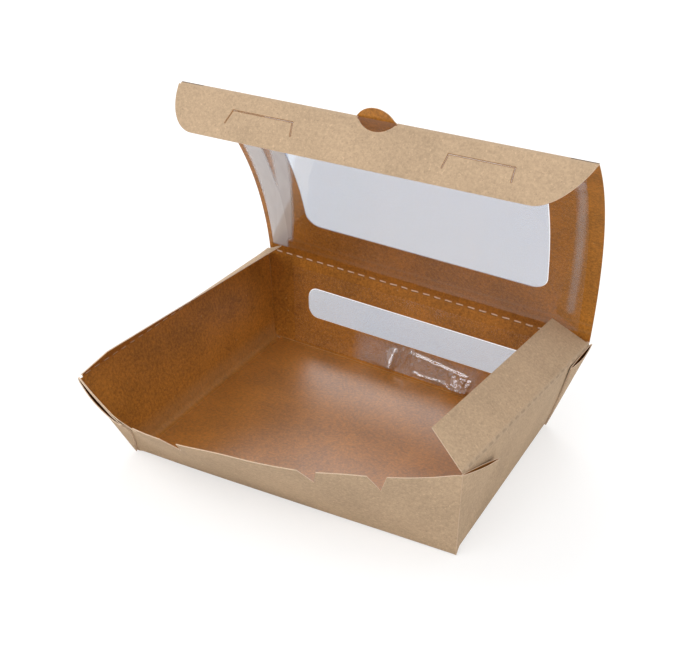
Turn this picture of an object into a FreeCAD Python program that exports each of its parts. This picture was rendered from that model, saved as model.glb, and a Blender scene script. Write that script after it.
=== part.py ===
import FreeCAD, Part
import math
import os

from FreeCAD import Vector

# A takeaway box folded from one sheet of kraft board, with two clear film windows.
# Millimetres. The origin is the middle of the base, on the table: X runs along the front
# edge, Y towards the lid's hinge, Z up. The box stands as it does in use, with its lid
# open, its card walls sprung and its dust flaps standing part of the way up.

# The sheet, the film, and how far two panels stay apart at a fold that moves
board = 0.45
film = 0.12
fold_gap = 0.3

# The base, whose front fold runs a little out of square
base_width = 180.0
base_depth = 138.2
front_fold_skew = 6.4

# The tray's rim over the base, at the two back corners
rim_height = 52.9
side_flare = 14.7
back_flare = 13.4

# How far the card has moved the two front rim corners: across, along and up
front_left_spring = Vector(-5.1, -26.5, -2.6)
front_right_spring = Vector(-13.0, -5.0, 4.0)

# The front wall leans out most near its left end; its top edge has a skew of its own
front_slant = 56.0
front_top_skew = 4.1
front_leans = [(0.18, 40.5), (0.45, 38.5), (0.72, 30.0), (0.9, 18.5)]

# The notches that leave two locking tabs in the front wall's top edge
notch_width = 9.5
notch_depth = 12.5
notch_places = [-66.0, -40.0, 34.8, 69.0]

# The webs folded flat on the outside of the walls: each tip's share of the wall's length
# from the corner, its share of the wall's height, and how far its mouth stands open. The
# front left web lies on the front wall and the others on the end walls.
web_tips = {
    "front_left": (0.165, 0.95, 0.8),
    "front_right": (0.254, 0.77, 2.2),
    "back_left": (0.17, 0.85, 0.8),
    "back_right": (0.176, 0.84, 0.8),
}

# The slot window in the back wall, and the film glued behind it
slot_width = 150.8
slot_low = 20.3
slot_high = 38.3
slot_radius = 6.5
rear_film_width = 172.0
rear_film_low = 5.8
rear_film_high = 48.0

# The lid: chord and bow of its curve, its lean from upright at each end, and how far its
# front fold stands to the right and wider than its hinge
lid_chord = 162.8
lid_bow = 15.2
lid_lean_left = 35.6
lid_lean_right = 32.2
lid_side_gap = 0.5
lid_shift = 4.7
lid_widening = 3.3

# The lid's window and the film glued inside it
window_width = 152.5
window_low = 28.2
window_high = 134.6
window_radius = 9.0
lid_film_low = 5.0
lid_film_high = 156.0
lid_film_side = 3.0
lid_film_lift = 0.3

# The front flap, its rounded ends, its two slits and the thumb notch
flap_depth = 25.3
flap_angle = 40.0
flap_left_round = 16.0
flap_right_round = 26.0
slit_place = 57.0
slit_drop = 9.6
slit_width = 32.6
slit_leg = 7.0
slit_spread = 0.9
slit_cut = 0.5
thumb_width = 20.8
thumb_depth = 6.2
thumb_clearance = 0.5
thumb_tab_rise = 77.0

# The two dust flaps
dust_width = 24.6
dust_crease_start = 2.5
dust_edge_start = 8.0
dust_crease_end = 1.5
dust_edge_end = 10.0
left_dust_back_angle = 43.0
left_dust_front_angle = 51.0
right_dust_angle = 27.0

# Reach of the shapes that cut windows, notches and slits through the sheet
cut_reach = 30.0

outward = {
    "left": Vector(-1, 0, 0),
    "right": Vector(1, 0, 0),
    "back": Vector(0, 1, 0),
    "front": Vector(0, -1, 0),
}
upward = Vector(0, 0, 1)


def unit(vector):
    return vector * (1.0 / vector.Length)


def between(start, end, share):
    return start + (end - start) * share


def line(start, end):
    return Part.LineSegment(start, end).toShape()


def arc(start, middle, end):
    return Part.Arc(start, middle, end).toShape()


def spline(points):
    curve = Part.BSplineCurve()
    curve.interpolate(points)
    return curve.toShape()


def sheet(first_edge, second_edge, thickness):
    """One panel: the surface between two edges, given the sheet's thickness."""
    return Part.makeRuledSurface(first_edge, second_edge).extrude(thickness)


def prism(points, reach):
    """A straight-sided cutting shape with the outline given by its corners."""
    outline = Part.makePolygon(points + [points[0]])
    return Part.Face(outline).extrude(reach)


def turned(angle, level, rise):
    """The direction that is the given angle above level, towards rise."""
    lift = math.radians(angle)
    return level * math.cos(lift) + rise * math.sin(lift)


half_width = base_width / 2
half_depth = base_depth / 2
base = {
    "front_left": Vector(-half_width, -half_depth - front_fold_skew, 0),
    "front_right": Vector(half_width, -half_depth + front_fold_skew, 0),
    "back_right": Vector(half_width, half_depth, 0),
    "back_left": Vector(-half_width, half_depth, 0),
}
hinge_reach = half_width + side_flare
rim = {
    "back_left": Vector(-hinge_reach, half_depth + back_flare, rim_height),
    "back_right": Vector(hinge_reach, half_depth + back_flare, rim_height),
    "front_left": Vector(-hinge_reach, -half_depth, rim_height) + front_left_spring,
    "front_right": Vector(hinge_reach, -half_depth, rim_height) + front_right_spring,
}

# The front and back walls turn the corners over the folded webs
corner_wrap = 3 * board


def lid_fold_end(side):
    """Where the fold between the lid and its front flap ends."""
    sign = outward[side].x
    lean = lid_lean_left if side == "left" else lid_lean_right
    start = rim["back_" + side]
    along = turned(90 + lean, outward["back"], upward)
    return start + along * lid_chord + Vector(lid_shift + sign * lid_widening, 0, 0)


fold_left = lid_fold_end("left")
fold_right = lid_fold_end("right")
lid_lean = (lid_lean_left + lid_lean_right) / 2
lid_along = turned(90 + lid_lean, outward["back"], upward)
lid_back = turned(lid_lean, outward["back"], upward)
lid_bend = 2 * math.degrees(math.atan(2 * lid_bow / lid_chord))


def make_base():
    """The base, reaching under the walls all round."""
    spread = {
        "front_left": Vector(-board, -board, 0),
        "front_right": Vector(board, -board, 0),
        "back_right": Vector(board, board, 0),
        "back_left": Vector(-board, board, 0),
    }
    corners = [base[name] + spread[name] for name in base]
    return prism(corners, upward * board)


def make_end_wall(side):
    """The left or right wall, whose top stops just under its dust flap's crease."""
    low_back = base["back_" + side]
    low_front = base["front_" + side]
    high_back = rim["back_" + side] - unit(rim["back_" + side] - low_back) * fold_gap
    high_front = rim["front_" + side] - unit(rim["front_" + side] - low_front) * fold_gap
    low_run = unit(low_front - low_back) * board
    high_run = unit(high_front - high_back) * board
    low = line(low_back - low_run, low_front + low_run)
    high = line(high_back - high_run, high_front + high_run)
    return sheet(low, high, outward[side] * board)


def make_back_wall():
    """The back wall with its slot window."""
    slope = unit(rim["back_left"] - base["back_left"])
    low_left = base["back_left"] + outward["left"] * corner_wrap
    low_right = base["back_right"] + outward["right"] * corner_wrap
    drop = slope * fold_gap
    high_left = rim["back_left"] - drop + outward["left"] * corner_wrap
    high_right = rim["back_right"] - Vector(-drop.x, drop.y, drop.z) + outward["right"] * corner_wrap
    wall = sheet(line(low_left, low_right), line(high_left, high_right), outward["back"] * board)
    rise = unit(Vector(0, back_flare, rim_height))
    foot = Vector(0, half_depth, 0)
    window = window_cutter(
        foot + rise * slot_low,
        foot + rise * slot_high,
        slot_width,
        Vector(0, 0, 0),
        slot_radius,
        outward["back"],
    )
    return wall.cut(window)


def window_cutter(low_middle, high_middle, width, slide, radius, through):
    """A window with rounded corners; slide shifts its upper edge sideways."""
    reach = outward["right"] * (width / 2)
    start = through * -cut_reach
    corners = [
        low_middle - reach + start,
        low_middle + reach + start,
        high_middle + reach + slide + start,
        high_middle - reach + slide + start,
    ]
    block = prism(corners, through * (2 * cut_reach))
    long_edges = [edge for edge in block.Edges if abs(edge.Length - 2 * cut_reach) < 0.01]
    return block.makeFillet(radius, long_edges)


def front_wall_top():
    """The front wall's top edge, through its lean at a few places along it."""
    left = Vector(-half_width, -half_depth - front_top_skew, 0)
    right = Vector(half_width, -half_depth + front_top_skew, 0)
    run = unit(right - left)
    away = Vector(run.y, -run.x, 0)
    points = [rim["front_left"] + outward["left"] * corner_wrap]
    points.append(rim["front_left"])
    for share, lean in front_leans:
        along = (between(rim["front_left"], rim["front_right"], share) - left).dot(run)
        points.append(left + run * along + turned(90 - lean, away, upward) * front_slant)
    points.append(rim["front_right"])
    points.append(rim["front_right"] + outward["right"] * corner_wrap)
    return spline(points)


def notch_cutter(top_edge, place):
    """One V-shaped notch, place being its distance from the middle of the top edge."""
    at = top_edge.Curve.parameterAtDistance(top_edge.Length / 2 + place, top_edge.FirstParameter)
    lip = top_edge.Curve.value(at)
    steepness = (lip.z / front_slant)
    apex = lip - upward * (notch_depth * steepness)
    corner = Vector(notch_width, 0, notch_depth * steepness * 2)
    start = outward["front"] * -cut_reach
    outline = [apex + start, apex + corner + start, apex + Vector(-corner.x, 0, corner.z) + start]
    return prism(outline, outward["front"] * (2 * cut_reach))


def make_front_wall():
    """The front wall, leaning out, with four notches that leave two locking tabs."""
    top = front_wall_top()
    low = line(
        base["front_left"] + outward["left"] * corner_wrap,
        base["front_right"] + outward["right"] * corner_wrap,
    )
    mean_lean = sum(lean for share, lean in front_leans) / len(front_leans)
    thickness = board / math.cos(math.radians(mean_lean))
    wall = sheet(low, top, outward["front"] * thickness)
    for place in notch_places:
        wall = wall.cut(notch_cutter(top, place))
    return wall


def make_web(corner, next_corner, out):
    """The doubled web at one corner, lying on a wall, open at its mouth."""
    share, height, lift = web_tips[corner]
    foot = base[corner]
    head = rim[corner]
    low = between(foot, base[next_corner], share)
    high = between(head, rim[next_corner], share)
    if corner == "front_left":
        top = front_wall_top()
        high = top.Curve.value(top.Curve.parameterAtDistance(top.Length * share, top.FirstParameter))
    tip = between(low, high, height) + out * (board + lift)
    beside = Vector(math.copysign(board, foot.x), math.copysign(board, foot.y), 0)
    blunt = 0.04
    near = line(between(foot, head, blunt) + beside, between(foot, head, 0.99) + beside)
    far = line(between(foot + out * board, tip, blunt), tip)
    return sheet(near, far, out * (2 * board))


def make_tray():
    """Base, four walls and four webs: one folded piece."""
    panels = [make_back_wall(), make_end_wall("left"), make_end_wall("right"), make_front_wall()]
    panels.append(make_web("front_left", "front_right", outward["front"]))
    panels.append(make_web("front_right", "back_right", outward["right"]))
    panels.append(make_web("back_left", "front_left", outward["left"]))
    panels.append(make_web("back_right", "front_right", outward["right"]))
    return make_base().fuse(panels)


def make_rear_film():
    """The clear film inside the back wall's window."""
    rise = unit(Vector(0, back_flare, rim_height))
    foot = Vector(0, half_depth, 0)
    half = outward["right"] * (rear_film_width / 2)
    low = foot + rise * rear_film_low
    high = foot + rise * rear_film_high
    return sheet(line(low - half, low + half), line(high - half, high + half), outward["front"] * film)


def lid_curve(share, start_along, end_along, lift):
    """The lid's curve at a share of its width, from one distance to another up its chord."""
    radius = (lid_chord ** 2 / 4 + lid_bow ** 2) / (2 * lid_bow)
    lean = lid_lean_left + (lid_lean_right - lid_lean_left) * share
    along = turned(90 + lean, outward["back"], upward)
    back = turned(lean, outward["back"], upward)
    hinge = between(rim["back_left"], rim["back_right"], share)
    front = between(fold_left, fold_right, share)
    slide = (front.x - hinge.x) / lid_chord

    def point(distance):
        sideways = math.sqrt(radius ** 2 - (distance - lid_chord / 2) ** 2)
        bow = sideways - (radius - lid_bow) - lift
        return hinge + along * distance + back * bow + Vector(slide * distance, 0, 0)

    middle = (start_along + end_along) / 2
    return arc(point(start_along), point(middle), point(end_along))


def lid_share(inset):
    """The share of the lid's width at a distance in from its left edge."""
    return inset / (2 * hinge_reach)


def make_lid_panel():
    """The bowed lid panel with its window and the thumb tab on its front edge."""
    run = fold_gap * math.cos(math.radians(lid_bend))
    inset = lid_share(lid_side_gap)
    left = lid_curve(inset, run, lid_chord - run, 0)
    right = lid_curve(1 - inset, run, lid_chord - run, 0)
    panel = sheet(left, right, lid_back * board)
    hinge_middle = between(rim["back_left"], rim["back_right"], 0.5)
    slide = lid_shift / lid_chord
    low = hinge_middle + lid_along * window_low + Vector(slide * window_low, 0, 0)
    high = hinge_middle + lid_along * window_high
    shift = Vector(slide * window_high, 0, 0)
    window = window_cutter(low, high, window_width, shift, window_radius, lid_back)
    return panel.cut(window).fuse(make_thumb_tab())


def make_thumb_tab():
    """The half-moon tab, cut from the front flap, that stands up from the lid's edge."""
    middle = between(fold_left, fold_right, 0.5)
    run = unit(fold_right - fold_left)
    rise = turned(180 - thumb_tab_rise, outward["back"], upward)
    half = thumb_width / 2 - thumb_clearance
    root = middle - rise * fold_gap
    foot = root - rise * (board / 2)
    top = arc(root - run * half, middle + rise * (thumb_depth - thumb_clearance), root + run * half)
    sides = [line(root + run * half, foot + run * half)]
    sides.append(line(foot + run * half, foot - run * half))
    sides.append(line(foot - run * half, root - run * half))
    outline = Part.Wire([top] + sides)
    thickness = turned(90 - thumb_tab_rise, outward["back"], upward) * board
    return Part.Face(outline).extrude(thickness)


def make_lid_film():
    """The clear film inside the lid, just clear of the curved card."""
    left_share = lid_share(lid_film_side)
    left = lid_curve(left_share, lid_film_low, lid_film_high, lid_film_lift)
    right = lid_curve(1 - left_share, lid_film_low, lid_film_high, lid_film_lift)
    return sheet(left, right, lid_back * -film)


def slit_cutter(start, end, across, through):
    """A narrow straight cut between two points of the front flap."""
    run = unit(end - start) * (slit_cut / 2)
    side = unit(across) * (slit_cut / 2)
    low = start - run - side - through
    high = end + run - side - through
    outline = [low, high, high + side * 2, low + side * 2]
    return prism(outline, through * 2)


def make_front_flap():
    """The lid's front flap: round ends, thumb notch and two three-sided slits."""
    run = unit(fold_right - fold_left)
    level = outward["front"] * math.sin(math.radians(flap_angle))
    down = level - upward * math.cos(math.radians(flap_angle))
    down = unit(down - run * down.dot(run))
    face_out = down.cross(run)
    width = (fold_right - fold_left).Length

    def at(along, depth):
        return fold_left + run * along + down * depth

    round_share = 1 - math.sqrt(0.5)
    left_bend = at(flap_left_round * round_share, flap_depth * math.sqrt(0.5))
    right_bend = at(width - flap_right_round * round_share, flap_depth * math.sqrt(0.5))
    edges = [
        line(at(0, fold_gap), at(width, fold_gap)),
        arc(at(width, fold_gap), right_bend, at(width - flap_right_round, flap_depth)),
        line(at(width - flap_right_round, flap_depth), at(flap_left_round, flap_depth)),
        arc(at(flap_left_round, flap_depth), left_bend, at(0, fold_gap)),
    ]
    flap = Part.Face(Part.Wire(edges)).extrude(face_out * board)
    radius = ((thumb_width / 2) ** 2 + thumb_depth ** 2) / (2 * thumb_depth)
    centre = at(width / 2, thumb_depth - radius)
    notch = Part.makeCylinder(radius, 2 * cut_reach, centre - face_out * cut_reach, face_out)
    flap = flap.cut(notch)
    through = face_out * cut_reach
    for side in (-1, 1):
        middle = width / 2 + side * slit_place
        half = slit_width / 2
        top = [at(middle - half, slit_drop), at(middle + half, slit_drop)]
        low = [
            at(middle - half - slit_spread, slit_drop + slit_leg),
            at(middle + half + slit_spread, slit_drop + slit_leg),
        ]
        flap = flap.cut(slit_cutter(top[0], top[1], down, through))
        flap = flap.cut(slit_cutter(top[0], low[0], run, through))
        flap = flap.cut(slit_cutter(top[1], low[1], run, through))
    return flap


def make_dust_flap(side, back_angle, front_angle):
    """A dust flap on an end wall's crease, tapered at both its ends."""
    start = rim["back_" + side]
    crease = rim["front_" + side] - start
    run = unit(crease)
    inwards = outward[side] * -1

    def lean(angle):
        direction = turned(angle, inwards, upward)
        return unit(direction - run * direction.dot(run))

    back = lean(back_angle)
    front = lean(front_angle)
    low_start = start + run * dust_crease_start + back * fold_gap
    low_end = start + run * (crease.Length - dust_crease_end) + front * fold_gap
    high_start = start + run * dust_edge_start + back * dust_width
    high_end = start + run * (crease.Length - dust_edge_end) + front * dust_width
    mean_angle = (back_angle + front_angle) / 2
    face_out = turned(mean_angle + 90, inwards, upward)
    return sheet(line(low_start, low_end), line(high_start, high_end), face_out * board)


nodes = {
    "tray": make_tray(),
    "rear_window_film": make_rear_film(),
    "lid_panel": make_lid_panel(),
    "lid_window_film": make_lid_film(),
    "lid_front_flap": make_front_flap(),
    "left_dust_flap": make_dust_flap("left", left_dust_back_angle, left_dust_front_angle),
    "right_dust_flap": make_dust_flap("right", right_dust_angle, right_dust_angle),
}

os.makedirs("parts", exist_ok=True)
for name, shape in nodes.items():
    shape.exportStep("parts/" + name + ".step")
    print(name, shape.isValid(), len(shape.Solids), "solid", round(shape.Volume, 1), "mm3")

print("lid fold ends", fold_left, fold_right)
print("rim corners", rim)
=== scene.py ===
import math

import bpy
from mathutils import Matrix, Vector, noise


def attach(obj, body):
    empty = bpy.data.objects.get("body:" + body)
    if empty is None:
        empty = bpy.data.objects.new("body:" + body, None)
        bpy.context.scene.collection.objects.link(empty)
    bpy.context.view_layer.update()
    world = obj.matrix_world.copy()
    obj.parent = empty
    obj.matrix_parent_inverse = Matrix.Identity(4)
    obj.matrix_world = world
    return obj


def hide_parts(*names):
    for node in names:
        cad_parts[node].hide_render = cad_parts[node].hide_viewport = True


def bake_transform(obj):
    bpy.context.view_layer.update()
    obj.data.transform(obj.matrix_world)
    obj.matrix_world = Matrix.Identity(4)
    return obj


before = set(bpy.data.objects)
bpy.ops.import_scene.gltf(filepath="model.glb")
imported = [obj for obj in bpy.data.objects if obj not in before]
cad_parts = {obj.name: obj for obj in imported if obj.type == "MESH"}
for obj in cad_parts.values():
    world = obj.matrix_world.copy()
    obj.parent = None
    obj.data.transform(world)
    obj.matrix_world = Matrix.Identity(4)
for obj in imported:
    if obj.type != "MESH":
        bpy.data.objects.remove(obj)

bl_info = {
    "name": "Takeaway box",
    "version": (1, 0, 0),
    "blender": (4, 5, 0),
    "location": "3D View > Sidebar > Takeaway box",
    "description": "A kraft card takeaway box with an open lid and clear windows",
    "category": "Object",
}

# Sizes on the blanks are millimetres; a finished piece is scaled to metres when it is folded.
MM = 0.001

# Half the base's width, and half the depth of its blank
BASE_WIDE = 90.0
BASE_DEEP = 73.2

# Length of the lid's hinge on the back wall's top edge, that wall's height, and half the
# width of the lid's blank
HINGE = 209.4
BACK_TALL = 54.6
LID_HALF = 104.2

# Corners of the tray as it stands: the base on the table, and the rim over it
BASE = {
    "front_left": Vector((-BASE_WIDE, -75.5, 0.0)),
    "front_right": Vector((BASE_WIDE, -62.7, 0.0)),
    "back_right": Vector((BASE_WIDE, 69.1, 0.0)),
    "back_left": Vector((-BASE_WIDE, 69.1, 0.0)),
}
RIM = {
    "front_left": Vector((-109.8, -95.6, 50.3)),
    "front_right": Vector((91.7, -74.1, 56.9)),
    "back_right": Vector((HINGE / 2, 82.5, 52.9)),
    "back_left": Vector((-HINGE / 2, 82.5, 52.9)),
}

# The line over which the front wall's lean is measured, where the wall's top edge starts
# along it, and that edge's length
FRONT_FOOT = (Vector((-BASE_WIDE, -73.2, 0.0)), Vector((BASE_WIDE, -65.0, 0.0)))
FRONT_START = -19.9
FRONT_RUN = 200.4

# The front wall's lean from upright, in degrees, at shares of its length from the left
FRONT_LEANS = [
    (0.0, 24.5), (0.085, 32.5), (0.175, 39.5), (0.31, 41.0), (0.445, 38.3), (0.545, 36.5),
    (0.63, 34.0), (0.68, 32.0), (0.75, 28.0), (0.84, 23.0), (0.935, 15.7), (1.0, 9.0),
]

# The front wall's height up its slant
FRONT_SLANT = 56.0

# Each wall's corners in the order of its blank, the blank's length and height, and half the
# width of the soft fold at its foot
WALLS = {
    "left": ("front_left", "back_left", 178.3, 56.2, 3.2),
    "right": ("back_right", "front_right", 157.3, 57.0, 1.6),
    "back": ("back_left", "back_right", HINGE, BACK_TALL, 0.9),
    "front": ("front_right", "front_left", 210.0, FRONT_SLANT, 1.6),
}

# Each web's corner, the wall it lies on, its tip's share of that wall's length and height,
# how far its tip stands off and how far its mouth opens
WEBS = [
    ("front_left", "front", 0.165, 0.96, 0.5, 1.3),
    ("front_right", "right", 0.254, 0.77, 2.2, 1.5),
    ("back_left", "left", 0.18, 0.95, 0.4, 0.9),
    ("back_right", "right", 0.18, 0.953, 0.6, 1.5),
]

# Width and height of a web's blank
WEB_WIDE = 20.0
WEB_TALL = 56.0

# Places of the front wall's notches along its blank
NOTCHES = (66.5, 40.0, -35.0, -69.0)

# The front flap's three-sided slits on its blank
SLITS = (
    ((-76.2, 16.6), (-74.0, 9.6), (-41.0, 9.6), (-39.8, 16.6)),
    ((38.8, 16.6), (40.0, 9.6), (72.1, 9.6), (72.3, 16.6)),
)

# Half width and height of the thumb tab, and of the thumb notch in the front flap
THUMB_TAB = (10.0, 5.9)
THUMB_NOTCH = (10.4, 6.2)

# Each dust flap: the corners that its crease joins, the way it leans, the angles of its two
# ends over level, and how far each end is cut back at the crease and at the free edge
DUST_FLAPS = {
    "left": ("front_left", "back_left", 1, (49.0, 36.0), (0.3, 4.0), (2.5, 18.0)),
    "right": ("back_right", "front_right", -1, (27.0, 27.0), (2.5, 8.0), (1.5, 10.0)),
}

# The films' left, right, low and high edges on their blanks
LID_FILM = (-101.0, 96.5, 5.5, 156.0)
REAR_FILM = (-88.0, 86.0, 2.5, 48.0)

# Hazy streaks of each film, partly painted glare: the place across at its foot, its slope, half
# width and fade, its low and high end, and its strength
LID_HAZE_AND_GLARE = (
    (-96.0, 0.02, 4.5, 2.0, 7.0, 156.0, 1.0),
    (-94.0, 0.17, 3.6, 2.5, 14.0, 110.0, 0.9),
    (90.0, 0.03, 0.8, 2.5, 20.0, 150.0, 0.22),
)
REAR_HAZE_AND_GLARE = ((8.0, 0.0, 40.0, 10.0, 3.0, 17.0, 0.22),)

# What the camera turns about, its sensor, and its focal length and width in picture points
TARGET = Vector((-32.751, 57.438, 30.0))
SENSOR = 36.0
FOCAL = 1150.0
PICTURE_WIDE = 700.0

# Thickness of a die, far more than the board's
DIE = 8.0

UP = Vector((0.0, 0.0, 1.0))


# ---- settings -------------------------------------------------------------------------


def number(name, description, default, **limits):
    """One slider of the panel."""
    return bpy.props.FloatProperty(name=name, description=description, default=default, **limits)


def tint(name, description, default):
    """One colour of the panel."""
    return bpy.props.FloatVectorProperty(
        name=name, description=description, subtype="COLOR", default=default
    )


class BoardSettings(bpy.types.PropertyGroup):
    """The sheet that the box is cut from."""

    thickness: number("Board", "Thickness of the board in millimetres", 0.45, min=0.1)
    film: number("Film", "Thickness of the window film in millimetres", 0.12, min=0.02)
    crease: number("Crease", "Half the width of a crease in millimetres", 1.3, min=0.3)
    pitch: number("Perforation pitch", "From one perforation to the next, millimetres", 7.22)
    dash: number("Perforation", "Length of one perforation in millimetres", 3.4)
    outside: tint("Outside", "Matte kraft face", (0.47, 0.335, 0.215))
    coated: tint("Inside", "Coated face", (0.4, 0.155, 0.021))
    cut: tint("Cut edge", "Bare fibre of a cut edge", (0.66, 0.5, 0.36))


class TraySettings(bpy.types.PropertyGroup):
    """The tray's slot window and notches."""

    slot_half: number("Slot", "Half length of the slot window, mm", 76.8)
    slot_low: number("Slot foot", "Slot's lower edge up the wall, mm", 19.8)
    slot_high: number("Slot head", "Slot's upper edge up the wall, mm", 37.8)
    slot_round: number("Slot corners", "Radius of its corners, mm", 6.6)
    notch_width: number("Notch width", "Width of a V notch, mm", 9.5)
    notch_depth: number("Notch depth", "Depth of a V notch, mm", 12.5)


class LidSettings(bpy.types.PropertyGroup):
    """The bowed lid, its window and its flaps."""

    chord: number("Chord", "Hinge to front fold, mm", 162.8)
    bow: number("Bow", "Height of the lid's curve, mm", 15.2)
    lean_left: number("Lean, left", "Degrees from upright", 35.6)
    lean_right: number("Lean, right", "Degrees from upright", 32.2)
    shift: number("Shift", "Front fold moved to the right, mm", 4.7)
    widening: number("Widening", "Each end of the front fold, mm", 3.3)
    window_half: number("Window", "Half width of the window, mm", 75.2)
    window_shift: number("Window place", "Moved to the right, mm", 1.0)
    window_low: number("Window foot", "Up the lid's curve, mm", 29.5)
    window_high: number("Window head", "Up the lid's curve, mm", 137.0)
    window_round: number("Window corners", "Radius, mm", 9.0)
    flap_depth: number("Flap depth", "Depth of the front flap, mm", 25.3)
    flap_angle: number("Flap angle", "Front flap, degrees from upright", 40.0)
    dust_width: number("Dust flaps", "Width of the dust flaps, mm", 24.6)


class StageSettings(bpy.types.PropertyGroup):
    """Lamps and camera."""

    key: number("Key", "Power of the large front lamp, watts", 7.0)
    left: number("Left", "Power of the left lamp, watts", 3.0)
    back: number("Back", "Power of the lamp behind, watts", 6.5)
    fill: number("Fill", "Power of the side lamp, watts", 2.4)
    sky: number("Sky", "Strength of the even light", 0.7)
    distance: number("Distance", "Camera to its target, mm", 686.877)
    azimuth: number("Azimuth", "Camera, degrees", 25.786)
    elevation: number("Elevation", "Camera, degrees", 30.049)
    roll: number("Roll", "Camera, degrees", 4.085)


def settings(group):
    return getattr(bpy.context.scene, "takeaway_" + group)


# ---- shader values --------------------------------------------------------------------


class Value:
    """One number in a material; sums on it add Math nodes."""

    def __init__(self, finish, socket):
        self.finish = finish
        self.socket = socket

    def math(self, operation, *others):
        sockets = dict(enumerate((self,) + others))
        return self.finish.node("ShaderNodeMath", {"operation": operation}, sockets)

    def __add__(self, other):
        return self.math("ADD", other)

    def __radd__(self, other):
        return self.math("ADD", other)

    def __mul__(self, other):
        return self.math("MULTIPLY", other)

    def __rmul__(self, other):
        return self.math("MULTIPLY", other)

    def __sub__(self, other):
        return self.math("SUBTRACT", other)

    def __rsub__(self, other):
        return (self * -1.0).math("ADD", other)

    def __truediv__(self, other):
        return self.math("DIVIDE", other)

    def over(self, limit):
        return self.math("GREATER_THAN", limit)

    def size(self):
        return self.math("ABSOLUTE")

    def held(self):
        return self.math("MINIMUM", 1.0).math("MAXIMUM", 0.0)

    def within(self, middle, half, soft):
        """One inside middle plus or minus half, falling to nothing over soft."""
        return ((half + soft - (self - middle).size()) / soft).held()

    def beyond(self, low, high):
        """How far the number lies outside low to high."""
        return ((self - (low + high) / 2).size() - (high - low) / 2).math("MAXIMUM", 0.0)

    def hypotenuse(self, other):
        return (self * self + other * other).math("SQRT")


class Finish:
    """One material under construction."""

    def __init__(self, name):
        self.material = bpy.data.materials.new(name)
        self.material.use_nodes = True
        self.tree = self.material.node_tree
        self.tree.nodes.clear()

    def node(self, kind, chosen=None, sockets=None, output=0):
        made = self.tree.nodes.new(kind)
        for name, setting in (chosen or {}).items():
            setattr(made, name, setting)
        for name, given in (sockets or {}).items():
            if isinstance(given, Value):
                self.tree.links.new(given.socket, made.inputs[name])
            else:
                made.inputs[name].default_value = given
        return Value(self, made.outputs[output])

    def place(self):
        return self.node("ShaderNodeTexCoord", output="Object")

    def along(self):
        """Millimetres along and up the flat sheet."""
        flat = self.node("ShaderNodeUVMap", {"uv_map": "Sheet"})
        apart = self.node("ShaderNodeSeparateXYZ", {}, {0: flat})
        across = Value(self, apart.socket.node.outputs["X"])
        up = Value(self, apart.socket.node.outputs["Y"])
        return across * 1000.0, up * 1000.0

    def noise(self, scale, detail=2.0, stretch=None, roughness=0.5):
        place = self.place()
        if stretch:
            place = self.node("ShaderNodeMapping", {}, {"Vector": place, "Scale": stretch})
        return self.node(
            "ShaderNodeTexNoise",
            {},
            {"Vector": place, "Scale": scale, "Detail": detail, "Roughness": roughness},
        )

    def mix(self, share, first, second):
        mixed = self.node("ShaderNodeMix", {"data_type": "RGBA"}, {0: share})
        node = mixed.socket.node
        for index, given in ((6, first), (7, second)):
            if isinstance(given, Value):
                self.tree.links.new(given.socket, node.inputs[index])
            else:
                node.inputs[index].default_value = (*given[:3], 1.0)
        return Value(self, node.outputs[2])

    def line(self, across, up, first, last, half, soft):
        """One on the line between two places of the sheet, falling to nothing beside it."""
        run = (last[0] - first[0], last[1] - first[1])
        length = run[0] ** 2 + run[1] ** 2
        share = (((across - first[0]) * run[0] + (up - first[1]) * run[1]) / length).held()
        beside = across - share * run[0] - first[0]
        above = up - share * run[1] - first[1]
        return ((half + soft - beside.hypotenuse(above)) / soft).held()

    def bump(self, height, distance, strength=1.0):
        sockets = {"Height": height, "Distance": distance, "Strength": strength}
        return self.node("ShaderNodeBump", {}, sockets)

    def shader(self, sockets):
        return self.node("ShaderNodeBsdfPrincipled", {}, sockets)

    def end(self, shader):
        made = self.tree.nodes.new("ShaderNodeOutputMaterial")
        self.tree.links.new(shader.socket, made.inputs["Surface"])
        return self.material


def tone(colour, factor):
    return tuple(min(1.0, channel * factor) for channel in colour[:3])


def fibre_tone(finish, strength):
    """Cloudy tone and fine flecks of kraft fibre, about zero."""
    cloud = finish.noise(38.0, 3.0) - 0.5
    grain = finish.noise(620.0, 3.0, None, 0.62) - 0.5
    fleck = finish.noise(1300.0, 1.0) - 0.5
    return (cloud * 0.55 + grain * 0.9 + fleck * 0.45) * strength


def kraft_outside(folds=(), slits=()):
    """Matte kraft face, with a painted highlight along its creases and painted shade along its
    slits.
    """
    board = settings("board")
    finish = Finish("kraft_outside")
    across, up = finish.along()
    share = (fibre_tone(finish, 1.5) + 0.5).held()
    colour = finish.mix(share, tone(board.outside, 0.78), tone(board.outside, 1.22))
    dark = (finish.noise(900.0, 2.0) - 0.685).over(0.0) * 0.35
    colour = finish.mix(dark, colour, tone(board.outside, 0.45))
    pale = (finish.noise(760.0, 1.0, (1.0, 0.6, 1.0)) - 0.7).over(0.0) * 0.4
    colour = finish.mix(pale, colour, tone(board.outside, 1.5))
    for fold in folds:
        # Painted highlight: paler along each crease.
        crease_highlight = up.within(fold, 0.35, 0.9) * (finish.noise(240.0, 2.0) * 0.7)
        colour = finish.mix(crease_highlight * 0.6, colour, tone(board.outside, 1.35))
    for corners in slits:
        for first, last in zip(corners, corners[1:]):
            # Painted shade along each slit.
            shade = finish.line(across, up, first, last, 0.28, 0.32)
            colour = finish.mix(shade * 0.8, colour, tone(board.coated, 0.55))
    fibre = finish.noise(1100.0, 3.0, (1.0, 0.5, 1.0), 0.6)
    surface = {
        "Base Color": colour,
        "Roughness": 0.82,
        "Specular IOR Level": 0.22,
        "Normal": finish.bump(fibre, 0.00009, 0.55),
    }
    return finish.end(finish.shader(surface))


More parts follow.
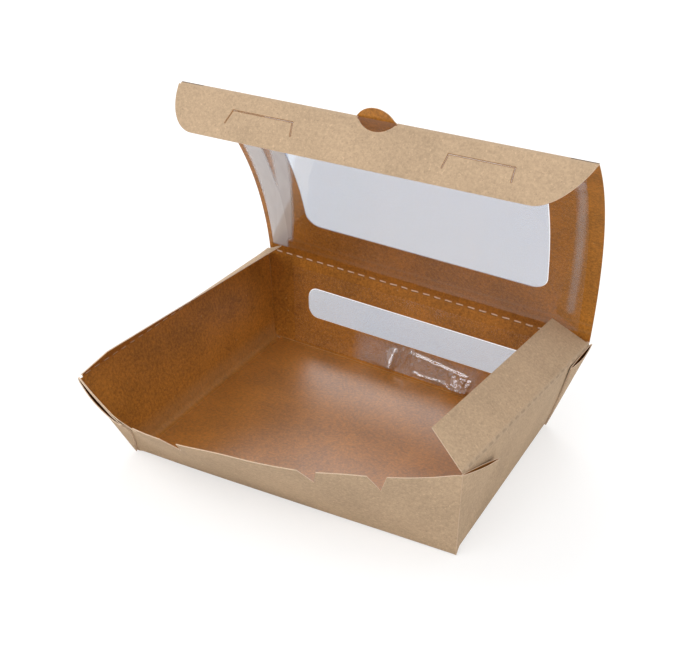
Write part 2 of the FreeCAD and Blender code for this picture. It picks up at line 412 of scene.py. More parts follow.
def coated_inside(name="coated_inside", folds=(), coat=0.0):
    """Glossy coated face, with a painted sheen in paler bands along its creases."""
    board = settings("board")
    finish = Finish(name)
    up = finish.along()[1]
    share = (fibre_tone(finish, 2.1) + 0.5).held()
    colour = finish.mix(share, tone(board.coated, 0.66), tone(board.coated, 1.4))
    dark = (finish.noise(1000.0, 2.0) - 0.74).over(0.0) * 0.35
    colour = finish.mix(dark, colour, tone(board.coated, 0.35))
    pale = (finish.noise(520.0, 1.0) - 0.78).over(0.0) * 0.5
    colour = finish.mix(pale, colour, (0.56, 0.38, 0.17))
    for place, half, soft, strength in folds:
        # Painted sheen: paler along each crease.
        sheen_band = up.within(place, half, soft) * (finish.noise(90.0, 3.0) * 0.9 + 0.35)
        colour = finish.mix(sheen_band.held() * strength, colour, (0.42, 0.235, 0.098))
    fibre = finish.noise(420.0, 3.0, None, 0.6)
    gloss = (finish.noise(60.0, 2.0) - 0.5) * 0.14 + 0.4
    surface = {
        "Base Color": colour,
        "Roughness": gloss,
        "Specular IOR Level": 0.35 + 0.5 * coat,
        "Coat Weight": coat,
        "Coat Roughness": 0.4,
        "Coat IOR": 2.1,
        "Normal": finish.bump(fibre, 0.00012, 0.4),
    }
    return finish.end(finish.shader(surface))


def cut_edge():
    """Bare fibre of a cut edge."""
    board = settings("board")
    finish = Finish("cut_edge")
    share = finish.noise(1500.0, 2.0)
    colour = finish.mix(share, tone(board.cut, 0.7), tone(board.cut, 1.3))
    return finish.end(finish.shader({"Base Color": colour, "Roughness": 0.9}))


def perforated(name, coated, gain, dark=False, ends=0.0):
    """A crease whose perforations show pale ripped fibre, or painted shade in dark pinholes; past
    ends, painted shade marks its slits.
    """
    board = settings("board")
    finish = Finish(name)
    across, up = finish.along()
    ground = board.coated if coated else board.outside
    share = (fibre_tone(finish, 1.1) + 0.5).held()
    colour = finish.mix(share, tone(ground, 0.8), tone(ground, 1.2))
    step = (across / board.pitch).math("FRACT")
    half = 0.5 * board.dash / board.pitch
    wander = (finish.noise(260.0, 2.0) - 0.5) * 0.9
    dash = (step + wander * 0.25).within(0.5, half, 0.1) * (up + wander).within(0.0, 0.3, 0.28)
    ragged = (finish.noise(700.0, 2.0) * 2.4 - 0.1).held()
    # Pale fibre, or with dark set, painted shade in the pinholes.
    dash_tone = (0.05, 0.025, 0.01) if dark else tone(board.cut, 1.3)
    # Painted shadow: a dark line under the dashes.
    under = (up + wander).within(-0.62, 0.12, 0.3) * step.within(0.45, half, 0.1)
    colour = finish.mix(under * gain * 0.6, colour, (0.045, 0.02, 0.008))
    colour = finish.mix(dash * ragged * gain, colour, dash_tone)
    if ends:
        # Painted shade in the slits past ends along the fold.
        slit = across.size().over(ends) * up.within(0.0, 0.25, 0.2)
        colour = finish.mix(slit * 0.85, colour, (0.035, 0.018, 0.008))
    relief = dash * -1.0 + finish.noise(700.0, 2.0) * 0.25
    surface = {
        "Base Color": colour,
        "Roughness": 0.5 if coated else 0.8,
        "Normal": finish.bump(relief, 0.00025, 0.6),
    }
    return finish.end(finish.shader(surface))


def film_finish(name, clear, window, radius, haze_and_glare, sheen):
    """Clear film: faintly blue over a window, with a sheen, and whitish where it lies loose: hazy
    there, and partly painted glare.

    clear is how opaque the film is over the window and beside it, and sheen how much of a
    mirror it is beside the window and over it.
    """
    finish = Finish(name)
    across, up = finish.along()
    left, right, low, high = window
    inner = radius + 0.3
    beside = across.beyond(left + inner, right - inner)
    above = up.beyond(low + inner, high - inner)
    open_area = ((radius + 0.2 - beside.hypotenuse(above)) / 0.4).held()
    # Whitish and more opaque in hazy streaks, partly painted glare.
    glare_haze = 0.0
    for place, slope, reach, fade, low_end, high_end, strength in haze_and_glare:
        glare_patch = (across - up * slope).within(place, reach, fade)
        glare_patch *= up.within((low_end + high_end) / 2, (high_end - low_end) / 2, 4.0)
        glare_haze = glare_haze + glare_patch * strength
    glare_streak = finish.noise(48.0, 3.0, (1.0, 0.3, 0.3), 0.6)
    glare_haze = (glare_haze * (glare_streak * 1.1 + 0.45)).held()
    alpha = (open_area * (clear[0] - clear[1]) + clear[1] + glare_haze * 0.62).held()
    colour = finish.mix(open_area, (0.74, 0.7, 0.69), (0.1, 0.26, 0.56))
    ripple = finish.noise(26.0, 2.0, (1.0, 0.5, 0.5)) + finish.noise(140.0, 2.0) * 0.12
    normal = finish.bump(ripple, 0.0012, 0.4)
    film = finish.shader(
        {"Base Color": colour, "Roughness": 0.07, "Alpha": alpha, "Normal": normal}
    )
    silver = (0.93, 0.94, 0.97, 1.0)
    mirror = finish.shader(
        {"Base Color": silver, "Metallic": 1.0, "Roughness": 0.1, "Normal": normal}
    )
    gloss = (open_area + glare_haze * 2.0).held() * (sheen[1] - sheen[0]) + sheen[0]
    return finish.end(finish.node("ShaderNodeMixShader", {}, {0: gloss, 1: film, 2: mirror}))


# ---- modelling a folded sheet ---------------------------------------------------------


def deselect():
    if bpy.context.mode != "OBJECT":
        bpy.ops.object.mode_set(mode="OBJECT")
    bpy.ops.object.select_all(action="DESELECT")


def take(sheet):
    """Makes the sheet the one that the next operators work on."""
    deselect()
    sheet.select_set(True)
    bpy.context.view_layer.objects.active = sheet


def blank(name, left, right, low, high, cell, thickness):
    """A flat blank of board with its inner face up, marked off in small cells."""
    deselect()
    bpy.ops.mesh.primitive_grid_add(
        x_subdivisions=max(2, round((right - left) / cell[0])),
        y_subdivisions=max(2, round((high - low) / cell[1])),
        size=1,
        location=((left + right) / 2, (low + high) / 2, 0),
    )
    sheet = bpy.context.object
    sheet.name = name
    sheet.scale = (right - left, high - low, 1)
    bpy.ops.object.transform_apply(location=True, rotation=False, scale=True)
    thick = sheet.modifiers.new("Thickness", "SOLIDIFY")
    thick.thickness = thickness
    thick.offset = -1
    bpy.ops.object.modifier_apply(modifier=thick.name)
    return sheet


def stamp(sheet, die, operation="DIFFERENCE"):
    """Stamps the die's outline out of the blank, or keeps only what lies in it."""
    cut = sheet.modifiers.new("Stamp", "BOOLEAN")
    cut.operation = operation
    cut.solver = "EXACT"
    cut.object = die
    take(sheet)
    bpy.ops.object.modifier_apply(modifier=cut.name)
    bpy.data.objects.remove(die)


def round_die(left, right, low, high, radius=0.0):
    """A block whose upright edges are rounded."""
    deselect()
    bpy.ops.mesh.primitive_cube_add(size=1, location=((left + right) / 2, (low + high) / 2, 0))
    die = bpy.context.object
    die.scale = (right - left, high - low, DIE)
    bpy.ops.object.transform_apply(location=True, rotation=False, scale=True)
    if radius:
        bpy.ops.object.mode_set(mode="EDIT")
        bpy.ops.mesh.select_mode(type="EDGE")
        bpy.ops.mesh.select_all(action="DESELECT")
        bpy.ops.object.mode_set(mode="OBJECT")
        points = die.data.vertices
        for edge in die.data.edges:
            first, second = (points[index].co for index in edge.vertices)
            edge.select = abs(first.z - second.z) > 1
        bpy.ops.object.mode_set(mode="EDIT")
        bpy.ops.mesh.bevel(offset=radius, segments=10, affect="EDGES")
        bpy.ops.object.mode_set(mode="OBJECT")
    return die


def slit_die(first, second, width):
    """A thin blade between two points of the blank."""
    deselect()
    run = Vector(second) - Vector(first)
    middle = (Vector(first) + Vector(second)) / 2
    bpy.ops.mesh.primitive_cube_add(
        size=1,
        location=(middle.x, middle.y, 0),
        rotation=(0, 0, math.atan2(run.y, run.x)),
        scale=(run.length + width, width, DIE),
    )
    bpy.ops.object.transform_apply(location=True, rotation=True, scale=True)
    return bpy.context.object


def notch_die(middle, edge, width, depth):
    """A V-shaped blade with its point below the blank's edge."""
    deselect()
    tall = depth * 1.5
    bpy.ops.mesh.primitive_cylinder_add(
        vertices=3,
        radius=1,
        depth=DIE,
        location=(middle, edge - depth + tall / 1.5, 0),
        rotation=(0, 0, math.pi),
        scale=(width * 1.5 / math.sqrt(3), tall / 1.5, 1),
    )
    bpy.ops.object.transform_apply(location=True, rotation=True, scale=True)
    return bpy.context.object


def oval_die(middle, height, radius_across, radius_up):
    """A blade with an oval outline."""
    deselect()
    bpy.ops.mesh.primitive_cylinder_add(
        vertices=96,
        radius=1,
        depth=DIE,
        location=(middle, height, 0),
        scale=(radius_across, radius_up, 1),
    )
    bpy.ops.object.transform_apply(location=True, rotation=True, scale=True)
    return bpy.context.object


def arc_radius(half, depth):
    """Radius of an arc from half its width and its depth."""
    return (half**2 + depth**2) / (2 * depth)


def half_moon_die(middle, half, depth):
    """A round blade that reaches depth past the blank's zero line."""
    radius = arc_radius(half, depth)
    return oval_die(middle, depth - radius, radius, radius)


def corner_die(end, reach, depth, slant=0.0):
    """What lies outside an oval corner of the blank, cut back along a slant."""
    side = 1 if end > 0 else -1
    margin = 20
    outer = end + side * margin
    inner = end - side * reach
    block = round_die(min(outer, inner), max(outer, inner), 0, depth + 2)
    stamp(block, oval_die(inner, 0, reach, depth))
    for vertex in block.data.vertices:
        vertex.co.x -= side * slant * vertex.co.y
    return block


def fold(sheet, place, finishes, thickness):
    """Marks the sheet's flat places on it, then folds it to shape: place gives the inner face."""
    mesh = sheet.data
    marks = mesh.uv_layers.new(name="Sheet")
    for loop in mesh.loops:
        point = mesh.vertices[loop.vertex_index].co
        marks.data[loop.index].uv = (point.x * MM, point.y * MM)
    while len(mesh.uv_layers) > 1:
        mesh.uv_layers.remove(mesh.uv_layers[0])
    mesh.materials.clear()
    for finish in finishes:
        mesh.materials.append(finish)
    for face in mesh.polygons:
        if abs(face.normal.z) < 0.5:
            face.material_index = min(2, len(finishes) - 1)
        else:
            face.material_index = 0 if face.normal.z > 0 else min(1, len(finishes) - 1)
        face.use_smooth = True
    step = 0.05
    for vertex in mesh.vertices:
        u, v, depth = vertex.co
        inner = place(u, v)
        if depth < -thickness * 0.01:
            run = place(u + step, v) - place(u - step, v)
            rise = place(u, v + step) - place(u, v - step)
            inner = inner + run.cross(rise).normalized() * depth
        vertex.co = inner * MM
    mesh.update()
    take(sheet)
    bpy.ops.object.shade_smooth_by_angle(angle=math.radians(40))
    for modifier in list(sheet.modifiers):
        bpy.ops.object.modifier_apply(modifier=modifier.name)
    return sheet


def bent(low, crease, high, share):
    """A soft fold: from one side of a crease to the other, round its line."""
    return low * (1 - share) ** 2 + crease * 2 * share * (1 - share) + high * share**2


def lean_at(share):
    """The front wall's lean, smooth between its measured places."""
    share = max(0.0, min(1.0, share))
    table = FRONT_LEANS
    index = 0
    while index < len(table) - 2 and share > table[index + 1][0]:
        index += 1
    (x0, y0), (x1, y1) = table[index], table[index + 1]
    before = table[max(0, index - 1)]
    after = table[min(len(table) - 1, index + 2)]
    slope0 = (y1 - before[1]) / (x1 - before[0])
    slope1 = (after[1] - y0) / (after[0] - x0)
    width = x1 - x0
    t = (share - x0) / width
    return (
        (2 * t**3 - 3 * t**2 + 1) * y0
        + (t**3 - 2 * t**2 + t) * width * slope0
        + (3 * t**2 - 2 * t**3) * y1
        + (t**3 - t**2) * width * slope1
    )


def front_top(share):
    """A point of the front wall's top edge, pulled to the rim's corners at its ends."""
    left, right = FRONT_FOOT
    run = (right - left).normalized()
    away = Vector((run.y, -run.x, 0))

    def raw(s):
        lean = math.radians(lean_at(s))
        slant = (away * math.sin(lean) + UP * math.cos(lean)) * FRONT_SLANT
        return left + run * (FRONT_RUN * s + FRONT_START) + slant

    pull = 0.12
    held = max(0.0, min(1.0, share))
    near = max(0.0, 1 - held / pull) ** 2
    far = max(0.0, 1 - (1 - held) / pull) ** 2
    return raw(share) + (RIM["front_left"] - raw(0)) * near + (RIM["front_right"] - raw(1)) * far


def crease_corner(corner):
    """Where the folds of two walls end at a corner of the base's upper face."""
    point = BASE[corner]
    side = WALLS["left" if point.x < 0 else "right"][4]
    end = WALLS["front" if point.y < 0 else "back"][4]
    x = point.x - math.copysign(side, point.x)
    y = point.y - math.copysign(end, point.y)
    return Vector((x, y, settings("board").thickness))


def wall_share(side, share, height):
    """A point of a wall at shares of its length and height."""
    first, last = WALLS[side][:2]
    foot = BASE[first].lerp(BASE[last], share)
    top = front_top(1 - share) if side == "front" else RIM[first].lerp(RIM[last], share)
    return foot + (top - foot) * height


def wall_place(side):
    """Where a wall's blank goes: its foot on the base, its top on the rim."""
    first, last, length, tall, crease = WALLS[side]
    board = settings("board").thickness

    def place(u, v):
        share = u / length + 0.5
        if v >= crease:
            return wall_share(side, share, v / tall)
        low = crease_corner(first).lerp(crease_corner(last), share)
        middle = wall_share(side, share, 0) + UP * (board * 0.6)
        high = wall_share(side, share, crease / tall)
        return bent(low, middle, high, (v + crease) / (2 * crease))

    return place


# ---- pieces ---------------------------------------------------------------------------


class TAKEAWAY_OT_tray(bpy.types.Operator):
    """Base and four walls, folded up from their blanks"""

    bl_idname = "takeaway.tray"
    bl_label = "Tray"

    def execute(self, context):
        board = settings("board")
        tray = settings("tray")
        thick = board.thickness
        edge = cut_edge()
        outer = kraft_outside()
        base = blank("base", -BASE_WIDE, BASE_WIDE, -BASE_DEEP, BASE_DEEP, (4, 4), thick)

        def flat(u, v):
            share = (u + BASE_WIDE) / (2 * BASE_WIDE)
            front = crease_corner("front_left").lerp(crease_corner("front_right"), share)
            back = crease_corner("back_left").lerp(crease_corner("back_right"), share)
            return front.lerp(back, (v + BASE_DEEP) / (2 * BASE_DEEP))

        fold(base, flat, (coated_inside("coated_base", (), 0.9), outer, edge), thick)
        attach(base, "tray")
        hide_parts("tray")

        # Paler bands of painted sheen at each wall's foot, and how far its blank wraps round its
        # two corners
        bands = {
            "left": [(3.0, 3.0, 7.0, 0.4)],
            "right": [(0.0, 1.0, 3.0, 0.4)],
            "back": [(0.3, 0.2, 0.6, 0.8)],
            "front": [(0.0, 1.0, 3.0, 0.4)],
        }
        wraps = {
            "left": (1.4, -0.9),
            "right": (0.0, 0.0),
            "back": (1.4, 1.4),
            "front": (1.4, 0.0),
        }
        slot = (-tray.slot_half, tray.slot_half, tray.slot_low, tray.slot_high)
        for side in WALLS:
            length, tall, crease = WALLS[side][2:]
            top = tall - (0 if side == "front" else board.crease)
            cell = (4, 1.6) if side != "front" else (2.5, 1.6)
            before, after = wraps[side]
            start = -length / 2 - before
            end = length / 2 + after
            wall = blank(side + "_wall", start, end, -crease, top, cell, thick)
            if side == "back":
                stamp(wall, round_die(*slot, tray.slot_round))
            if side == "front":
                for middle in NOTCHES:
                    stamp(wall, notch_die(middle, top, tray.notch_width, tray.notch_depth))
            coated = coated_inside("coated_" + side, bands[side])
            fold(wall, wall_place(side), (coated, outer, edge), thick)
            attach(wall, "tray")
        return {"FINISHED"}


class TAKEAWAY_OT_webs(bpy.types.Operator):
    """The four corner webs, two layers each, with an open mouth at the rim"""

    bl_idname = "takeaway.webs"
    bl_label = "Corner webs"

    def execute(self, context):
        coated, outer, edge = coated_inside("coated_web"), kraft_outside(), cut_edge()
        for web in WEBS:
            self.layer(web, "under", (outer, coated, edge))
            self.layer(web, "over", (coated, outer, edge))
        return {"FINISHED"}

    def layer(self, web, name, finishes):
        corner, side, share, height, lift, mouth = web
        thick = settings("board").thickness
        sheet = blank(corner + "_web_" + name, 0, WEB_WIDE, 0.3, WEB_TALL, (1.25, 2), thick)
        first = WALLS[side][0] == corner
        gap = thick + 0.03 if name == "under" else 2 * thick + 0.08

        def place(u, v):
            across = u / WEB_WIDE if first else 1 - u / WEB_WIDE
            up = v / WEB_TALL
            along = share * up * across
            if not first:
                along = 1 - along
            rise = up * (1 + (height - 1) * across)
            point = wall_share(side, along, rise)
            step = 0.001
            run = wall_share(side, along + step, rise) - wall_share(side, along - step, rise)
            out = (wall_share(side, along, rise + step) - point).cross(run).normalized()
            stand = gap + lift * (across * up) ** 2
            if name == "over":
                stand += math.sin(math.pi * across) * up**3 * mouth
            return point + out * stand

        fold(sheet, place, finishes, thick)
        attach(sheet, "tray")


def lid_curve():
    """The radius of the lid's curve, and half the angle that it spans."""
    lid = settings("lid")
    radius = arc_radius(lid.chord / 2, lid.bow)
    return radius, math.asin(lid.chord / 2 / radius)


def lid_place(u, v, lift=0.0):
    """A point of the lid's curve: across it from its middle, and up it from the hinge."""
    lid = settings("lid")
    radius, half = lid_curve()
    share = u / HINGE + 0.5
    lean = math.radians(lid.lean_left + (lid.lean_right - lid.lean_left) * share)
    along = Vector((0, -math.sin(lean), math.cos(lean)))
    back = Vector((0, math.cos(lean), math.sin(lean)))
    turn = v / radius - half
    distance = lid.chord / 2 + (radius - lift) * math.sin(turn)
    bow = (radius - lift) * math.cos(turn) - (radius - lid.bow)
    hinge = RIM["back_left"].lerp(RIM["back_right"], share)
    slide = lid.shift + lid.widening * (2 * share - 1)
    return hinge + along * distance + back * bow + Vector((slide * distance / lid.chord, 0, 0))


def lid_window():
    """The window's left and right edges on the lid's blank."""
    lid = settings("lid")
    return lid.window_shift - lid.window_half, lid.window_shift + lid.window_half


def lid_arc():
    """The lid's length along its curve."""
    radius, half = lid_curve()
    return 2 * radius * half


def flap_frame():
    """The front fold's left end, its run, its length and the flap's downward direction."""
    lid = settings("lid")
    left = lid_place(-HINGE / 2, lid_arc())
    right = lid_place(HINGE / 2, lid_arc())
    run = (right - left).normalized()
    angle = math.radians(lid.flap_angle)
    down = Vector((0, -math.sin(angle), -math.cos(angle)))
    down = (down - run * down.dot(run)).normalized()
    return left, run, (right - left).length, down


def lid_front(u, before):
    """A point of the lid some way before its front fold."""
    return lid_place(u * HINGE / flap_frame()[2], lid_arc() - before)


def flap_place(u, v):
    """A point of the front flap, down from its fold."""
    left, run, length, down = flap_frame()
    return left + run * (u + length / 2) + down * v


class TAKEAWAY_OT_lid(bpy.types.Operator):
    """The bowed lid panel with its window and thumb tab"""

    bl_idname = "takeaway.lid"
    bl_label = "Lid"

    def execute(self, context):
        board = settings("board")
        lid = settings("lid")
        thick = board.thickness
        top = lid_arc() - board.crease
        panel = blank("lid", -LID_HALF, LID_HALF, board.crease, top, (4, 3), thick)
        left, right = lid_window()
        stamp(panel, round_die(left, right, lid.window_low, lid.window_high, lid.window_round))
        # Paler bands of painted sheen near the hinge.
        coated = coated_inside("coated_lid", [(7.0, 0.5, 1.2, 0.35), (12.5, 0.4, 1.0, 0.3)])
        fold(panel, lid_place, (coated, kraft_outside(), cut_edge()), thick)
        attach(panel, "lid")
        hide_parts("lid_panel")

        half, tall = THUMB_TAB
        reach = board.crease
        outline = (-half - 0.2, half + 0.2, -reach - 0.2, tall + 0.3)
        tab = blank("thumb_tab", *outline, (0.8, 0.7), thick)
        stamp(tab, half_moon_die(0, half, tall), "INTERSECT")
        lean = math.radians(78)
        rise = Vector((0, -math.cos(lean), math.sin(lean)))

        def stand(u, v):
            root = lid_front(u, 0)
            if v > reach:
                return root + rise * v
            share = (v + reach) / (2 * reach)
            return bent(lid_front(u, reach), root, root + rise * reach, share)

        fold(tab, stand, (coated_inside("coated_tab"), kraft_outside(), cut_edge()), thick)
        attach(tab, "lid")
        return {"FINISHED"}


class TAKEAWAY_OT_front_flap(bpy.types.Operator):
    """The lid's front flap, with round ends, two slits and a thumb notch"""

    bl_idname = "takeaway.front_flap"
    bl_label = "Front flap"

    def execute(self, context):
        board = settings("board")
        lid = settings("lid")
        thick = board.thickness
        right = flap_frame()[2] / 2
        left = -right - 0.8
        depth = lid.flap_depth
        flap = blank("front_flap", left, right, board.crease, depth, (4, 2), thick)
        stamp(flap, corner_die(left, 16.0, depth))
        stamp(flap, corner_die(right, 15.0, depth, 0.38))
        stamp(flap, half_moon_die(1.0, *THUMB_NOTCH))
        for corners in SLITS:
            for first, second in zip(corners, corners[1:]):
                stamp(flap, slit_die(first, second, 0.25))
        finishes = (coated_inside("coated_flap"), kraft_outside([0.0], SLITS), cut_edge())
        fold(flap, flap_place, finishes, thick)
        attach(flap, "front_flap")
        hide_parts("lid_front_flap")
        return {"FINISHED"}


def dust_frame(side):
    """Start and run of a dust flap's crease, its length and the lean of its two ends."""
    first, last, inwards, angles = DUST_FLAPS[side][:4]
    start, end = RIM[first], RIM[last]
    run = (end - start).normalized()
    leans = []
    for angle in angles:
        lift = math.radians(angle)
        direction = Vector((inwards * math.cos(lift), 0, math.sin(lift)))
        leans.append((direction - run * direction.dot(run)).normalized())
    return start, run, (end - start).length, leans


class TAKEAWAY_OT_dust_flaps(bpy.types.Operator):
    """The two dust flaps on the end walls"""

    bl_idname = "takeaway.dust_flaps"
    bl_label = "Dust flaps"

    def execute(self, context):
        for side in DUST_FLAPS:
            self.flap(side)
        return {"FINISHED"}

    def flap(self, side):
        board = settings("board")
        thick = board.thickness
        width = settings("lid").dust_width
        start, run, length, leans = dust_frame(side)
        near, far = DUST_FLAPS[side][4:]
        cell = (0.03 * length, 1.6)
        flap = blank(side + "_dust_flap", 0, length, board.crease, width, cell, thick)

        def place(u, v):
            share = u / length
            height = v / width
            first = near[0] + (near[1] - near[0]) * height
            last = length - far[0] - (far[1] - far[0]) * height
            lean = leans[0].lerp(leans[1], share)
            return start + run * (first + (last - first) * share) + lean * v

        finishes = (coated_inside("coated_dust"), kraft_outside([0.0]), cut_edge())
        fold(flap, place, finishes, thick)
        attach(flap, side + "_flap")
        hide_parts(side + "_dust_flap")


class TAKEAWAY_OT_creases(bpy.types.Operator):
    """The perforated creases, which bend with the folds that they join"""

    bl_idname = "takeaway.creases"
    bl_label = "Perforated creases"

    def execute(self, context):
        reach = settings("board").crease
        back_wall = wall_place("back")

        def hinge_low(u):
            return back_wall(u, BACK_TALL - reach)

        def hinge_fold(u):
            return lid_place(u, 0)

        def hinge_high(u):
            return lid_place(u, reach)

        def front_low(u):
            return lid_front(u, reach)

        def front_fold(u):
            return flap_place(u, 0)

        def front_high(u):
            return flap_place(u, reach)

        finishes = (
            perforated("hinge_inside", True, 0.95),
            perforated("hinge_outside", False, 0.5, True),
        )
        lines = (hinge_low, hinge_fold, hinge_high)
        self.strip("hinge_crease", LID_HALF, *lines, finishes, "tray", "lid")
        half = flap_frame()[2] / 2 - 0.3
        finishes = (
            perforated("front_inside", True, 0.0),
            perforated("front_outside", False, 0.0, False, 95.0),
        )
        lines = (front_low, front_fold, front_high)
        gap = (-9.4, 11.4)
        self.strip("front_crease", half, *lines, finishes, "lid", "front_flap", gap)
        for side, gain in (("left", 0.3), ("right", 0.22)):
            self.dust_crease(side, gain)
        return {"FINISHED"}

    def dust_crease(self, side, gain):
        reach = settings("board").crease
        wall = wall_place(side)
        length, tall = WALLS[side][2:4]
        start, run, span, leans = dust_frame(side)

        def low(u):
            return wall(u * length / span, tall - reach)

        def crease(u):
            return start + run * (u + span / 2)

        def high(u):
            return crease(u) + leans[0].lerp(leans[1], u / span + 0.5).normalized() * reach

        finishes = (
            perforated(side + "_dust_inside", True, 0.6),
            perforated(side + "_dust_outside", False, gain, True),
        )
        name = side + "_dust_crease"
        self.strip(name, span / 2 - 2.0, low, crease, high, finishes, "tray", side + "_flap")

    def strip(self, name, half, low, crease, high, finishes, first, second, gap=None):
        board = settings("board")
        reach = board.crease
        sheet = blank(name, -half, half, -reach, reach, (3, reach / 3), board.thickness)
        if gap:
            stamp(sheet, round_die(*gap, -reach * 2, reach * 2))

        def place(u, v):
            return bent(low(u), crease(u), high(u), v / (2 * reach) + 0.5)

        fold(sheet, place, (*finishes, cut_edge()), board.thickness)
        low(0) * MM
        high(0) * MM
        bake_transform(sheet)


def ramp(value, start, end):
    """A smooth step from nothing at start to one at end."""
    share = max(0.0, min(1.0, (value - start) / (end - start)))
    return share * share * (3 - 2 * share)


def loose_film(u, v):
    """How far the rear film's slack foot stands off the wall, in folds and crumples."""
    crumple = noise.noise(Vector((u * 0.22, v * 0.3, 1.7)))
    fine = noise.noise(Vector((u * 0.75, v * 0.55, 4.1)))
    foot = ramp(v, 2.5, 6.4 - 0.03 * max(0.0, u))
    # A wedge that rises to the right, upright pleats, a long ridge and a crumpled end
    head = 7.0 + 10.0 * ramp(u, -31.0, -9.0)
    wedge = 0.52 * max(0.0, head - v) * ramp(u, -33.0, -29.0) * (1 - ramp(u, -10.0, -6.5))
    pleat = 0.0
    for middle, lean in ((-5.2, 0.2), (-0.8, 0.35), (3.4, -0.12)):
        offset = u - middle - (v - 12.0) * lean
        pleat += max(0.0, 1 - abs(offset) / 1.7) * 1.5
    pleat *= ramp(v, 5.0, 7.5) * (1 - ramp(v, 15.5, 19.5))
    line = 17.2 - 0.095 * (u - 4.2)
    ridge = 1.1 * (1 - ramp(v, line - 0.8, line + 0.9))
    ridge *= ramp(u, 3.5, 5.5) * (1 - ramp(u, 43.0, 46.0))
    wave = 0.9 * (1 - ramp(v, 5.2, 7.0 + fine))
    wave *= ramp(u, 4.0, 6.0) * (1 - ramp(u, 46.0, 49.0))
    end = 0.45 * max(0.0, 12.5 - v + 2.0 * fine)
    end *= ramp(u, 30.0, 36.0) * (1 - ramp(u, 46.5, 49.5))
    slack = 0.35 * (crumple + 0.6 * fine) * (1 - ramp(v, 14.0, 18.0))
    slack *= ramp(u, -36.0, -28.0) * (1 - ramp(u, 48.0, 54.0))
    return max(0.0, foot * (wedge + pleat + ridge + wave + end + slack))


class TAKEAWAY_OT_films(bpy.types.Operator):
    """The clear films inside the lid and the back wall"""

    bl_idname = "takeaway.films"
    bl_label = "Window films"

    def execute(self, context):
        lid = settings("lid")
        tray = settings("tray")
        thick = settings("board").film
        clear = blank("lid_film", *LID_FILM, (4, 4), thick)
        window = (*lid_window(), lid.window_low, lid.window_high)
        sheen = (0.06, 0.1)
        finish = film_finish("lid_film", (0.24, 0.01), window, lid.window_round, LID_HAZE_AND_GLARE, sheen)

        def over_lid(u, v):
            loose = 0.5 + 0.5 * math.sin(u * 0.11 + v * 0.05)
            return lid_place(u, v, 0.35 + 0.25 * loose)

        fold(clear, over_lid, (finish,), thick)
        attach(clear, "lid")
        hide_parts("lid_window_film")

        wall = wall_place("back")
        rear = blank("rear_film", *REAR_FILM, (0.7, 0.5), thick)
        window = (-tray.slot_half, tray.slot_half, tray.slot_low, tray.slot_high)
        sheen = (0.02, 0.14)
        finish = film_finish("rear_film", (0.22, 0.01), window, tray.slot_round, REAR_HAZE_AND_GLARE, sheen)

        def over_wall(u, v):
            return wall(u, v) + Vector((0, -0.25 - loose_film(u, v), 0.0))

        fold(rear, over_wall, (finish,), thick)
        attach(rear, "tray")
        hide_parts("rear_window_film")
        return {"FINISHED"}


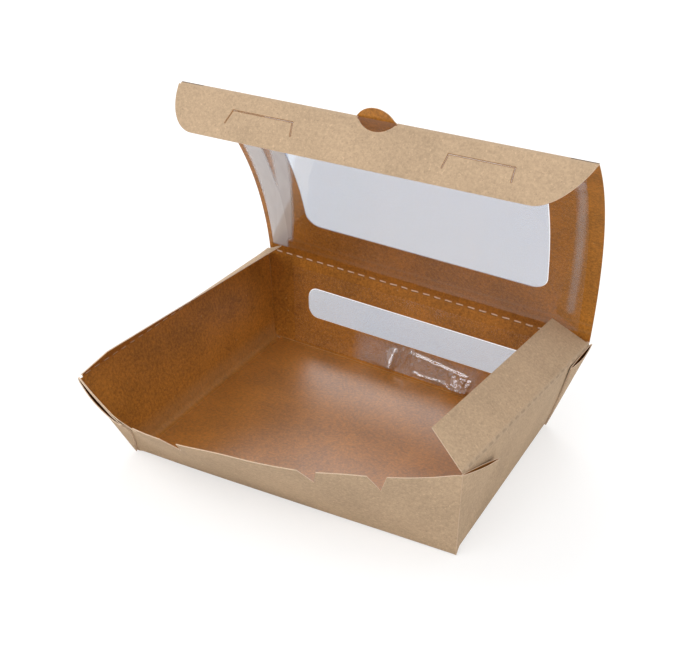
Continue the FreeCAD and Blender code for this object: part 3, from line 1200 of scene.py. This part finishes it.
class TAKEAWAY_OT_stage(bpy.types.Operator):
    """Pale floor, soft lamps and the camera"""

    bl_idname = "takeaway.stage"
    bl_label = "Stage"

    def execute(self, context):
        stage = settings("stage")
        deselect()
        bpy.ops.mesh.primitive_plane_add(size=9, location=(0, 0, -0.0002))
        floor = context.object
        floor.name = "floor"
        finish = Finish("floor")
        plain = finish.node("ShaderNodeBsdfDiffuse", {}, {"Color": (0.92, 0.92, 0.92, 1)})
        glow = finish.node("ShaderNodeEmission", {}, {"Color": (1, 1, 1, 1), "Strength": 1.16})
        path = finish.node("ShaderNodeLightPath").socket.node.outputs
        seen = Value(finish, path["Is Camera Ray"]) + Value(finish, path["Is Glossy Ray"])
        seen = (seen + Value(finish, path["Is Transmission Ray"])).held() * 0.5
        both = finish.node("ShaderNodeMixShader", {}, {0: seen, 1: plain, 2: glow})
        floor.data.materials.append(finish.end(both))

        world = context.scene.world or bpy.data.worlds.new("World")
        context.scene.world = world
        world.use_nodes = True
        sky = world.node_tree.nodes["Background"]
        sky.inputs["Color"].default_value = (1, 1, 1, 1)
        sky.inputs["Strength"].default_value = stage.sky

        self.lamp("key", (-0.15, -0.95, 1.2), 0.9, stage.key)
        self.lamp("left", (-1.0, -0.35, 0.95), 0.5, stage.left)
        self.lamp("back", (-0.55, 1.05, 0.72), 0.8, stage.back)
        self.lamp("side", (1.2, -0.5, 0.8), 0.8, stage.fill)

        deselect()
        bpy.ops.object.camera_add()
        camera = context.object
        camera.name = "camera"
        azimuth, elevation, roll = (
            math.radians(angle) for angle in (stage.azimuth, stage.elevation, stage.roll)
        )
        level = Vector((math.sin(azimuth), -math.cos(azimuth), 0))
        back = level * math.cos(elevation) + UP * math.sin(elevation)
        right = (-back).cross(UP).normalized()
        up = right.cross(-back)
        across = right * math.cos(roll) + up * math.sin(roll)
        over = up * math.cos(roll) - right * math.sin(roll)
        spot = (TARGET + back * stage.distance) * MM
        turn = Matrix((across, over, back)).transposed().to_4x4()
        camera.matrix_world = Matrix.Translation(spot) @ turn
        camera.data.sensor_width = SENSOR
        camera.data.lens = SENSOR * FOCAL / PICTURE_WIDE
        camera.data.clip_start = 0.01
        context.scene.camera = camera
        context.scene.view_settings.view_transform = "Standard"
        return {"FINISHED"}

    def lamp(self, name, place, size, power):
        bpy.ops.object.light_add(type="AREA", location=place)
        lamp = bpy.context.object
        lamp.name = name
        lamp.data.shape = "DISK"
        lamp.data.size = size
        lamp.data.energy = power
        aim = Vector((0, 0, 0.08)) - Vector(place)
        lamp.rotation_euler = aim.to_track_quat("-Z", "Y").to_euler()


class TAKEAWAY_PT_panel(bpy.types.Panel):
    """Every piece of the box in the sidebar"""

    bl_idname = "TAKEAWAY_PT_panel"
    bl_label = "Takeaway box"
    bl_space_type = "VIEW_3D"
    bl_region_type = "UI"
    bl_category = "Takeaway box"

    def draw(self, context):
        for group in GROUPS:
            for name in GROUPS[group].__annotations__:
                self.layout.prop(settings(group), name)
        for piece in PIECES:
            self.layout.operator(piece.bl_idname)


GROUPS = {
    "board": BoardSettings,
    "tray": TraySettings,
    "lid": LidSettings,
    "stage": StageSettings,
}
PIECES = (
    TAKEAWAY_OT_tray,
    TAKEAWAY_OT_webs,
    TAKEAWAY_OT_lid,
    TAKEAWAY_OT_front_flap,
    TAKEAWAY_OT_dust_flaps,
    TAKEAWAY_OT_creases,
    TAKEAWAY_OT_films,
    TAKEAWAY_OT_stage,
)


def register():
    for group in GROUPS:
        bpy.utils.register_class(GROUPS[group])
        pointer = bpy.props.PointerProperty(type=GROUPS[group])
        setattr(bpy.types.Scene, "takeaway_" + group, pointer)
    for piece in PIECES:
        bpy.utils.register_class(piece)
    bpy.utils.register_class(TAKEAWAY_PT_panel)


def unregister():
    bpy.utils.unregister_class(TAKEAWAY_PT_panel)
    for piece in reversed(PIECES):
        bpy.utils.unregister_class(piece)
    for group in GROUPS:
        delattr(bpy.types.Scene, "takeaway_" + group)
        bpy.utils.unregister_class(GROUPS[group])


def main():
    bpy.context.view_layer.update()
    register()
    bpy.ops.takeaway.tray()
    bpy.ops.takeaway.webs()
    bpy.ops.takeaway.lid()
    bpy.ops.takeaway.front_flap()
    bpy.ops.takeaway.dust_flaps()
    bpy.ops.takeaway.creases()
    bpy.ops.takeaway.films()
    bpy.ops.takeaway.stage()


if __name__ == "__main__":
    main()
